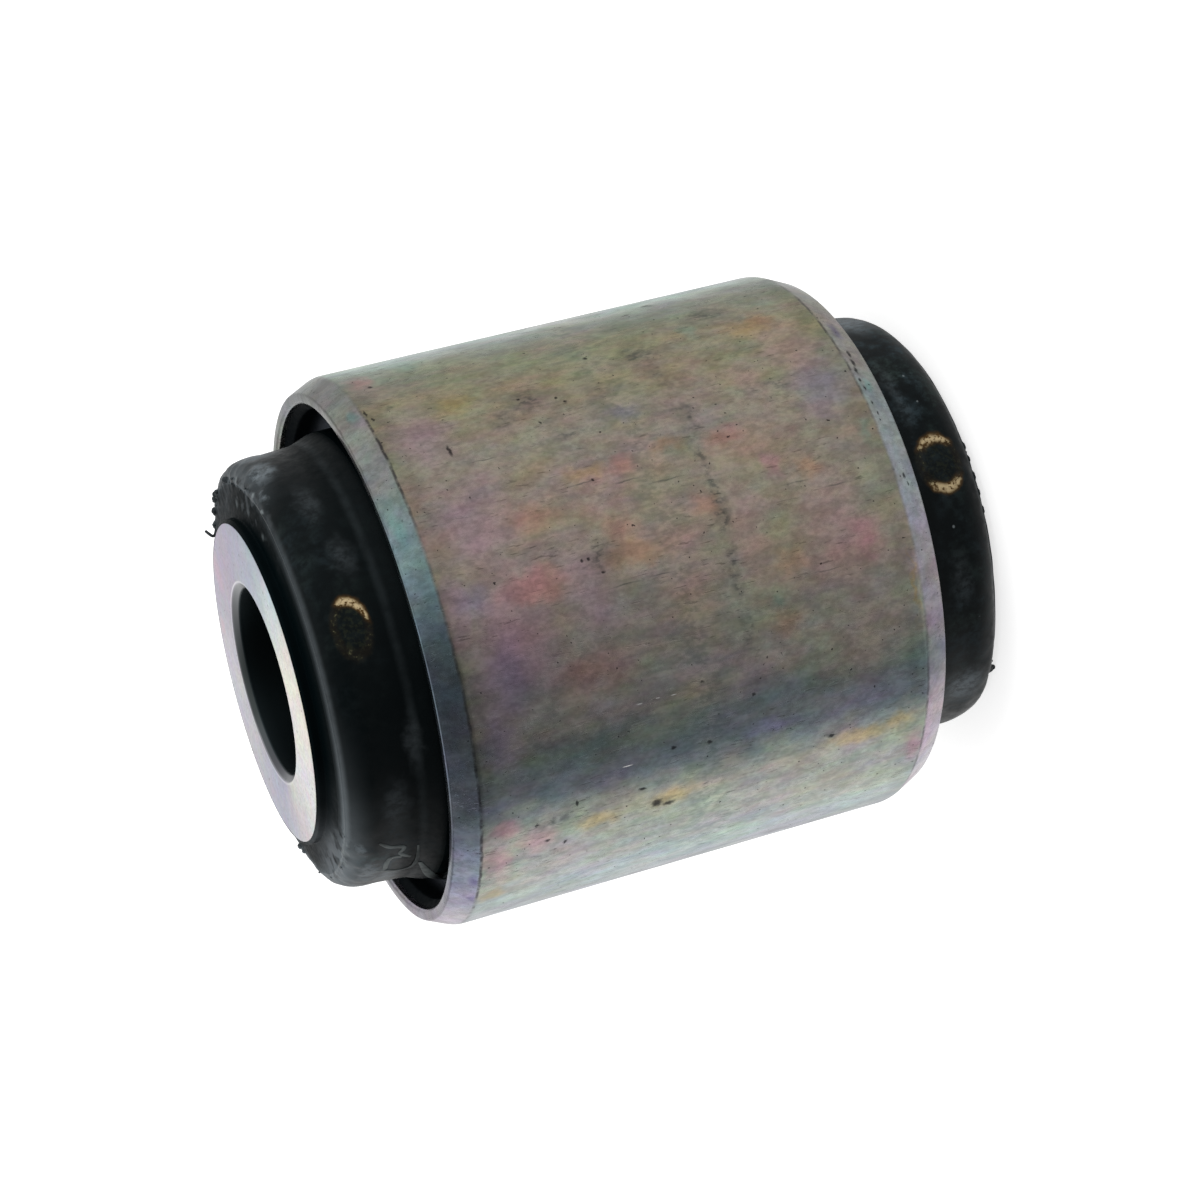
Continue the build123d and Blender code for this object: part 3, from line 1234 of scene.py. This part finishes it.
def scuffed_and_highlit(tree, at, finish):
    """A finish with the mould line rubbed grey and given a painted highlight, the end face lightened by it,
    a faint seam inside it and a line along the foot.
    """
    # painted highlight: the end face lightens as it rises to the crease
    rising_highlight = times(tree, fade(tree, at.inwards, 0.95, 0.0), fade(tree, at.inwards, -0.08, 0.05))
    scuff_and_highlight = calc(tree, "MAXIMUM", fade(tree, at.from_crease, 0.72, 0.10), times(tree, rising_highlight, 0.8))
    seam = fade(tree, away_from(tree, at.radius, SEAM_RADIUS), 0.12, 0.0)
    scuff_and_highlight = calc(tree, "ADD", scuff_and_highlight, times(tree, seam, at.on_ring, 0.12))
    grainy = fade(tree, at.fine, 0.25, 0.60, 0.75, 1.0)
    scuff_and_highlight = times(tree, scuff_and_highlight, level_round(tree, at.place, CREASE_SCUFF_AND_HIGHLIGHT), grainy)
    finish = lay_on(tree, finish, scuff_and_highlight, SCUFF_AND_HIGHLIGHT_GREY)
    from_line = away_from(tree, height_of(tree, warp(tree, at.place, 1.5, 0.12)), FOOT[1] - 0.1)
    foot_line = times(tree, fade(tree, from_line, 0.50, 0.02), fade(tree, at.cloudy, 0.36, 0.60, 0.5, 1.0))
    return lay_on(tree, finish, foot_line, FOOT_GREY, 0.18)


def torn_skin(tree, at, finish):
    """A finish with pale and deep torn patches by the crease, and painted shade in hollows of torn skin.
    Returns how ragged they are, too.
    """
    folds = [[(angle, fold(angle, side)) for angle in range(-180, 181, 15)] for side in (1, -1)]
    by_crease = fade(tree, at.from_crease, 2.3, 1.1)
    off_side = fade(tree, at.radius, CREASE_RADIUS + 0.9, CREASE_RADIUS + 0.3)
    torn = times(tree, by_end(tree, at, *folds), by_crease, off_side)
    ragged = clouds(tree, at.place, 1.1, 2.0, 0.5)
    finish = lay_on(tree, finish, times(tree, torn, fade(tree, ragged, 0.56, 0.66)), TORN_GREY, 0.40)
    finish = lay_on(tree, finish, times(tree, torn, fade(tree, ragged, 0.50, 0.40)), TORN_BLACK, 0.80)
    drifted = warp(tree, at.place, 0.7, 0.3)
    for radius, marks, tone, strength in TORN_PATCHES:
        finish = lay_on(tree, finish, spots(tree, drifted, radius, marks, 0.95), tone, strength)
    hollow_shade = spots(tree, warp(tree, at.place, 0.8, 0.4), COLLAR_RADIUS, SHADED_HOLLOWS, 0.9)
    return lay_on(tree, finish, hollow_shade, HOLLOW_SHADE, 0.7), times(tree, ragged, torn)


def paint_rings(tree, place, finish):
    """A finish with two broken rings of gold paint. Returns where the paint lies, too."""
    speckled = clouds(tree, place, 0.30, 3.0, 0.7)
    wobbly = warp(tree, place, 0.6, 0.22)
    painted = None
    for angle, height, across, along, lean in PAINT_RINGS:
        offset = vector_calc(tree, "SUBTRACT", wobbly, polar(angle, COLLAR_RADIUS, height))
        cosine, sine = math.cos(math.radians(angle)), math.sin(math.radians(angle))
        ways = ((-sine / across, cosine / across, 0), (0, 0, 1 / along), (cosine / 2, sine / 2, 0))
        parts = [vector_calc(tree, "DOT_PRODUCT", offset, way) for way in ways]
        flat_place = add_node(tree, "ShaderNodeCombineXYZ", dict(enumerate(parts))).outputs[0]
        reach = vector_calc(tree, "LENGTH", flat_place)
        to_ring = away_from(tree, reach, 1.0)
        up = calc(tree, "SUBTRACT", parts[0], times(tree, parts[1], lean))
        thick = fade(tree, up if lean else calc(tree, "ABSOLUTE", up), 0.45, 0.90)
        cover = calc(tree, "SUBTRACT", speckled, fade(tree, thick, 0.0, 1.0, 0.60, 0.38))
        stain = times(tree, fade(tree, reach, 1.35, 0.95), fade(tree, speckled, 0.46, 0.62))
        finish = lay_on(tree, finish, stain, PAINT_STAIN, 0.18)
        fringe = times(tree, fade(tree, to_ring, 0.34, 0.08), calc(tree, "ADD", thick, 0.08))
        finish = lay_on(tree, finish, fringe, PAINT_FRINGE, 0.75)
        paint = times(tree, fade(tree, to_ring, 0.22, 0.04), fade(tree, cover, 0.0, 0.14))
        gold = blend_colour(tree, thick, colour(*THIN_GOLD), colour(*THICK_GOLD))
        finish = blend_colour(tree, times(tree, paint, 0.9), finish, gold)
        painted = calc(tree, "MAXIMUM", painted, paint) if painted else paint
    return finish, painted


def dusty_rubber(name, gloss, worn=0.0):
    """Black rubber with dust, painted highlights and shade, a scuffed mould line, torn patches and paint
    dabs.

    The gloss is its specular level, and worn rubber is greyer, for wear and a painted highlight.
    """
    material, tree, shader = new_material(name)
    at = collar_places(tree)
    finish, smears_and_highlight = dusted(tree, at)
    finish, ragged = torn_skin(tree, at, scuffed_and_highlit(tree, at, finish))
    flecks = spots(tree, at.place, COLLAR_RADIUS, FLECKS, 0.5)
    finish = lay_on(tree, finish, flecks, FLECK_GREY, 0.45)
    # greyer rubber: wear and a painted highlight
    if worn:
        greyer_and_highlit = fade(tree, at.cloudy, 0.36, 0.62, worn - 0.3, worn + 0.1)
        finish = lay_on(tree, finish, greyer_and_highlit, WORN_HIGHLIGHT_GREY)
    in_groove = fade(tree, at.radius, FLARE[0], FLARE[0] + 0.2)
    on_floor = times(tree, in_groove, fade(tree, at.end, GROOVE_FLOOR + 1.2, GROOVE_FLOOR + 0.2))
    finish = lay_on(tree, finish, in_groove, GROOVE_BLACK)
    finish = lay_on(tree, finish, on_floor, GROOVE_DUST)
    finish, painted = paint_rings(tree, at.place, finish)

    shader.inputs["Specular IOR Level"].default_value = gloss
    rough = fade(tree, at.fine, 0.3, 0.7, 0.36, 0.52)
    rough = calc(tree, "ADD", rough, fade(tree, at.out_of_foot_shade, 1.0, 0.35, 0.0, 0.1))
    relief = times(tree, at.fine, calc(tree, "ADD", 0.25, smears_and_highlight))
    relief = calc(tree, "ADD", relief, times(tree, ragged, 1.4))
    relief = times(tree, calc(tree, "ADD", relief, painted), fade(tree, at.on_ring, 0.0, 1.0, 1.0, 0.3))
    wire(tree, shader, finish, rough, relief, 0.5, 0.05)
    return material


COLLAR_GLOSS = 0.11
MATT_GLOSS = 0.008
collar_rubber = dusty_rubber("collar_rubber", COLLAR_GLOSS)
matt_rubber = dusty_rubber("matt_rubber", MATT_GLOSS)

# %% [markdown]
# ## The rubber body
#
# A crowned collar stands out at each end, and an open groove runs round its foot, where the rubber
# can bulge when the bush is loaded. A thin skin climbs the inner sleeve almost to its rim, and
# another lines the outer sleeve. It is spun from one section. Then its points are moved by noise:
# soft waves all over, small wrinkles where the flash was torn off, and a fuller shoulder where the
# mould was worn. Bonded faces don't move. The end faces and the groove get the less glossy rubber.


# %% Rubber body
BACK_GROWTH = 0.55  # the back collar is this much longer, in mm
SHOULDER_MIDDLE = (15.4, 24.8)
SHOULDER_REACH = 2.4
FRONT_SWELLS = [(2, 45, 0.40), (190, 30, 0.20)]
BACK_SWELLS = [(203, 42, 0.85), (340, 48, 0.12)]  # where a shoulder is fuller: angle, half width, mm
RUBBER_STEPS = 36
SECTION_STEP = 0.3  # between the points along the free faces, in mm


def bump_up(share):
    """A smooth step from 0 at share 0 to 1 at share 1."""
    share = max(0.0, min(1.0, share))
    return share * share * (3 - 2 * share)


def settle(place, angle, radius, height):
    """Waves, wrinkles, fuller shoulders and a longer back collar on the free faces of the rubber."""
    side = 1 if height > 0 else -1
    free = min(1.0, max(0.0, (radius - inner_radius - SKIN_WALL) / 0.5))
    free *= min(1.0, max(0.0, (LINING_RADIUS - radius) / 0.3))
    if not free:
        return 0.0, 0.0
    from_middle = math.hypot(radius - SHOULDER_MIDDLE[0], abs(height) - SHOULDER_MIDDLE[1])
    near = max(0.0, 1 - from_middle / SHOULDER_REACH)
    wave = 0.05 * rough_at(place, 5.0) + 0.018 * rough_at(place, 1.1)
    wrinkle = 0.17 * near * fold(angle, side) * (rough_at(place, 0.9) + 0.3 * rough_at(place, 0.4))
    swells = FRONT_SWELLS if side > 0 else BACK_SWELLS
    swell = sum(fuller * bell(angle, centre, half_width) for centre, half_width, fuller in swells)
    grown = wave + wrinkle + near * swell
    if side > 0:
        return 0.8 * free * grown, 0.8 * free * near * grown
    reach = bump_up((radius - inner_radius - SKIN_WALL) / 1.5)
    longer = BACK_GROWTH * bump_up((abs(height) - 21.0) / 3.0) * reach
    return 0.8 * free * grown, -0.3 * free * near * grown - longer


rubber_section = section(
    both_ends(
        [
            (inner_radius, inner_end - RIM_CHAMFER, 0),
            (inner_radius - RIM_CHAMFER + 0.02, inner_end - 0.03, 0),
            (inner_radius - RIM_CHAMFER + 0.06, inner_end - 0.01, 0),
            (inner_radius + SKIN_WALL, inner_end - RIM_CHAMFER, 0.05),
            (inner_radius + SKIN_WALL, CREASE_HEIGHT + FACE_RISE, 0.1),
            (CREASE_RADIUS, CREASE_HEIGHT, 0.15),
            (*SHOULDER_CORNER, SHOULDER_ROUNDING),
            (*FOOT, 0.25),
            (*FLARE, 0.3),
            (FLARE[0], GROOVE_FLOOR, 0.5),
            (LINING_RADIUS, GROOVE_FLOOR, 0.5),
            (LINING_RADIUS, LINING_TOP - LIP_HEIGHT, 0.1),
            (mouth_radius, LINING_TOP, 0),
        ]
    ),
    SECTION_STEP,
    GROOVE_FLOOR,
)
rubber_shape = spin(rubber_section, RUBBER_STEPS)
push(rubber_shape, settle)
for face in rubber_shape.faces:
    middle = face.calc_center_median() / MM
    on_end = abs(middle.z) > CREASE_HEIGHT - 0.35 and middle.xy.length < CREASE_RADIUS - 0.05
    in_groove = abs(middle.z) < FLARE[1] - 0.1 or middle.xy.length > FLARE[0] + 0.1
    face.material_index = 1 if on_end or in_groove else 0
finish_piece("rubber", rubber_shape, [collar_rubber, matt_rubber], "rubber_body")

# %% [markdown]
# ## Moulding flash
#
# Where the two halves of the mould met, rubber crept into the joint and was left standing as flash.
# Round most of the crease it is a low clean bead, and in places it is a ragged fin with torn nubs.
# One small section is spun round the crease, and then each point of the fin is raised to the height
# that the flash has at its angle. Torn knobs and crumbs are small balls with uneven faces.

# %% Flash fins
FIN = [
    (-0.17, 0.0),
    (-0.13, 0.45),
    (-0.10, 0.8),
    (-0.04, 1.0),
    (0.04, 1.0),
    (0.10, 0.8),
    (0.14, 0.45),
    (0.20, 0.0),
]  # its section: how far out from the crease, in mm, and the share of its height
FIN_BASE = CREASE_HEIGHT - 0.15
FIN_STEPS = 90
UNCUT = 5.0  # a step longer than any edge of the fin's section
FRONT_TEETH = [
    (-2, 0.14, 2.0),
    (5, 0.05, 3.0),
    (16.5, 0.18, 3.2),
    (22, 0.10, 3.0),
    (26.0, 0.16, 2.0),
    (32.5, 0.14, 1.8),
    (41, 0.08, 2.0),
    (50, 0.06, 1.6),
    (149, 0.10, 2.4),
]  # angle, height and half width in degrees
BACK_TEETH = [
    (213, 0.34, 2.2),
    (285, 0.10, 1.4),
    (281, 0.08, 1.2),
    (276, 0.10, 1.6),
    (271, 0.07, 1.2),
    (266, 0.09, 1.4),
]
FRONT_KNOBS = [
    (-2.5, 15, 25.46, 0.26),
    (0.5, 14.9, 25.42, 0.19),
    (13.8, 14.95, 25.52, 0.21),
    (16, 15.02, 25.5, 0.24),
    (18.2, 14.95, 25.56, 0.26),
    (20.2, 15, 25.46, 0.21),
    (25.8, 14.95, 25.54, 0.24),
    (27.6, 15, 25.44, 0.20),
    (32.5, 14.92, 25.52, 0.20),
    (34, 14.98, 25.42, 0.18),
    (148.5, 14.85, 25.5, 0.24),
    (151.5, 14.9, 25.42, 0.21),
    (112.7, 12.3, 26.3, 0.12),
]  # angle, radius, height and size
BACK_KNOBS = [(213.0, 14.92, 25.70, 0.22), (216.5, 15.00, 25.45, 0.14)]
FRONT_CRUMBS = [(-32, 36, 12), (150, 218, 10)]
BACK_CRUMBS = [(262, 288, 3)]  # first angle, last angle and number
CRUMB_SIZES = (0.05, 0.11)
CRUMB_RADII = (14.5, 15.15)
FLASH_SEED = 11
FLASH_REACH = inner_end - 0.02


def crease_move(angle, side):
    """How far the rubber's crease was moved out and up at an angle, in mm."""
    crease_place = Vector(polar(angle, CREASE_RADIUS, side * CREASE_HEIGHT))
    return settle(crease_place * MM, angle, CREASE_RADIUS, side * CREASE_HEIGHT)


def ridge_height(angle, teeth, torn):
    """The height of the flash: a low bead, a ragged edge where it was torn, and blunt teeth."""
    at = Vector(polar(angle, 1, 0.4)) * CREASE_RADIUS * MM
    ragged = 0.4 + 0.9 * rough_at(at, 0.9) + 0.5 * rough_at(at, 0.4)
    low = 0.015 - 0.07 * torn + 0.01 * rough_at(at, 2.5)
    tooth = max(height * min(1.0, 1.7 * bell(angle, centre, wide)) for centre, height, wide in teeth)
    return low + 0.07 * torn * max(0.0, ragged) + tooth


def add_knob(shape, side, angle, radius, height, size, draw):
    """A torn knob or crumb of rubber: a small ball with an uneven face."""
    out, up = crease_move(angle, side)
    centre = Vector(polar(angle, radius + out, side * height + up))
    made = bmesh.ops.create_icosphere(shape, subdivisions=3, radius=size * MM)["verts"]
    for point in made:
        point.co *= 1 + 0.35 * rough_at(point.co + centre, 0.35)
    stretch = Matrix.Diagonal((draw.uniform(0.8, 1.1), draw.uniform(0.8, 1.3), draw.uniform(0.8, 1.2), 1))
    lean = Matrix.Rotation(math.radians(angle), 4, "Z") @ stretch
    bmesh.ops.transform(shape, matrix=Matrix.Translation(centre * MM) @ lean, verts=made)


def flash_ring(name, side, teeth, knobs, crumbs):
    """The flash of one end: a fin round the crease, with knobs, and crumbs where it is torn."""
    corners = [(CREASE_RADIUS + out, side * (FIN_BASE + share), 0) for out, share in FIN]
    shape = spin(section(corners, UNCUT), FIN_STEPS)

    def raise_fin(place, angle, radius, height):
        share = side * height - FIN_BASE
        torn = fold(angle, side)
        ridge = 0.15 + ridge_height(angle, teeth, torn)
        sway = 0.35 * share * ridge * (rough_at(place, 1.4) + 0.4)
        out, up = crease_move(angle, side)
        return out + sway + 0.3 * torn * (radius - CREASE_RADIUS), up + side * share * (ridge - 1)

    push(shape, raise_fin)
    draw = random.Random(FLASH_SEED)
    for knob in knobs:
        add_knob(shape, side, *knob, draw)
    for first, last, number in crumbs:
        for _ in range(number):
            size = draw.uniform(*CRUMB_SIZES)
            angle, radius = draw.uniform(first, last), draw.uniform(*CRUMB_RADII)
            add_knob(shape, side, angle, radius, CREASE_HEIGHT, size, draw)
    for point in shape.verts:
        point.co.z = max(point.co.z, -FLASH_REACH * MM)  # no flash hangs below the inner sleeve's end
    finish_piece(name, shape, [collar_rubber])


flash_ring("flash_front", 1, FRONT_TEETH, FRONT_KNOBS, FRONT_CRUMBS)
flash_ring("flash_back", -1, BACK_TEETH, BACK_KNOBS, BACK_CRUMBS)

# %% [markdown]
# ## Torn skin
#
# A whisker of rubber curls off the crease, and at the collar's foot a torn skin has left wavy lips.
# They are drawn as short curves that get thinner towards their ends, and turned into meshes.


# %% Whisker and lips
CAP_GAP = 0.0005  # points this close, in mm, are one: it sews the end caps on


def strand(shape, route, thickness):
    """Adds a round strand along (angle, radius, height, share of thickness) points."""
    data = bpy.data.curves.new("strand", "CURVE")
    data.dimensions = "3D"
    data.bevel_depth = thickness * MM
    data.bevel_resolution = 2
    data.resolution_u = 8
    data.use_fill_caps = True
    line = data.splines.new("NURBS")
    line.points.add(len(route) - 1)
    for point, (angle, radius, height, share) in zip(line.points, route):
        point.co = (*[side * MM for side in polar(angle, radius, height)], 1)
        point.radius = share
    line.order_u = 3
    line.use_endpoint_u = True
    holder = bpy.data.objects.new("strand", data)
    mesh = bpy.data.meshes.new_from_object(holder)
    shape.from_mesh(mesh)
    bmesh.ops.remove_doubles(shape, verts=shape.verts, dist=CAP_GAP * MM)
    bpy.data.objects.remove(holder)
    bpy.data.meshes.remove(mesh)
    bpy.data.curves.remove(data)


WHISKER = [
    (33, 15.10, 25.30, 1.2),
    (34, 14.75, 25.50, 1.1),
    (34, 14.30, 25.72, 1.0),
    (34, 14.18, 25.95, 1.0),
    (34, 14.50, 26.14, 1.0),
    (34, 14.86, 26.32, 0.9),
]
WHISKER_THICKNESS = 0.12
LIP_THICKNESS = 0.17
LIP_FLATNESS = 0.16  # how far a lip stands out, as a share of its thickness
LIP_GLOSS = 0.10
LIP_WEAR_AND_HIGHLIGHT = 0.50
LIPS = [
    [
        (216.5, 16.44, 23.30, 0.5),
        (215.6, 16.46, 23.03, 0.9),
        (213.8, 16.49, 22.56, 1.0),
        (213.3, 16.52, 21.95, 1.0),
        (212.6, 16.55, 21.40, 1.1),
        (211.2, 16.55, 21.45, 1.0),
        (210.2, 16.54, 21.75, 1.0),
        (208.4, 16.55, 21.45, 1.0),
        (206.6, 16.60, 20.80, 0.8),
    ],
    [
        (207.6, 16.56, 21.50, 0.8),
        (208.7, 16.53, 22.16, 1.1),
        (207.4, 16.51, 22.50, 1.2),
        (204.8, 16.50, 22.62, 1.2),
        (202.0, 16.50, 22.60, 1.1),
        (200.6, 16.48, 22.80, 1.0),
        (201.8, 16.46, 23.30, 0.6),
    ],
    [
        (202.0, 16.80, 20.00, 0.8),
        (197.0, 17.05, 19.45, 1.8),
        (191.0, 17.30, 18.75, 2.6),
        (187.5, 17.40, 18.20, 2.8),
        (187.0, 17.40, 17.60, 2.4),
        (191.0, 17.30, 17.20, 1.8),
        (195.5, 17.20, 17.10, 0.8),
    ],
    [
        (201.0, 16.50, 22.90, 0.8),
        (200.4, 16.52, 22.50, 1.4),
        (199.2, 16.54, 22.10, 1.5),
        (198.6, 16.58, 21.60, 0.9),
        (198.6, 16.64, 21.10, 0.9),
        (199.2, 16.78, 20.55, 1.0),
        (201.6, 16.84, 20.38, 1.0),
        (205.0, 16.84, 20.28, 0.9),
        (208.0, 16.76, 20.30, 0.8),
        (212.0, 16.66, 20.38, 0.4),
    ],
]


def side_radius(height):
    """The radius of the collar's side and of its flared foot at a height."""
    if height > FOOT[1]:
        share = (height - FOOT[1]) / (SHOULDER_CORNER[1] - FOOT[1])
        return FOOT[0] + (SHOULDER_CORNER[0] - FOOT[0]) * share
    share = (FOOT[1] - height) / (FOOT[1] - FLARE[1])
    return FOOT[0] + (FLARE[0] - FOOT[0]) * share


def press_down(place, angle, radius, height):
    """Flattens what stands out of the collar's side."""
    proud = radius - side_radius(height)
    return min(0.0, (LIP_FLATNESS - 1) * proud), 0.0


whisker_shape = bmesh.new()
strand(whisker_shape, WHISKER, WHISKER_THICKNESS)
finish_piece("curled_whisker", whisker_shape, [collar_rubber])
lips_shape = bmesh.new()
for route in LIPS:
    strand(lips_shape, route, LIP_THICKNESS)
push(lips_shape, press_down)
# the lips' greyer rubber is wear and a painted highlight
worn_rubber = dusty_rubber("worn_rubber", LIP_GLOSS, LIP_WEAR_AND_HIGHLIGHT)
finish_piece("torn_lips", lips_shape, [worn_rubber])

# %% [markdown]
# ## Colour management
#
# The colours above are the ones that a screen shows, so the view is the plain Standard one, which
# leaves them as they are.

# %% Colour management
bpy.context.scene.view_settings.view_transform = "Standard"
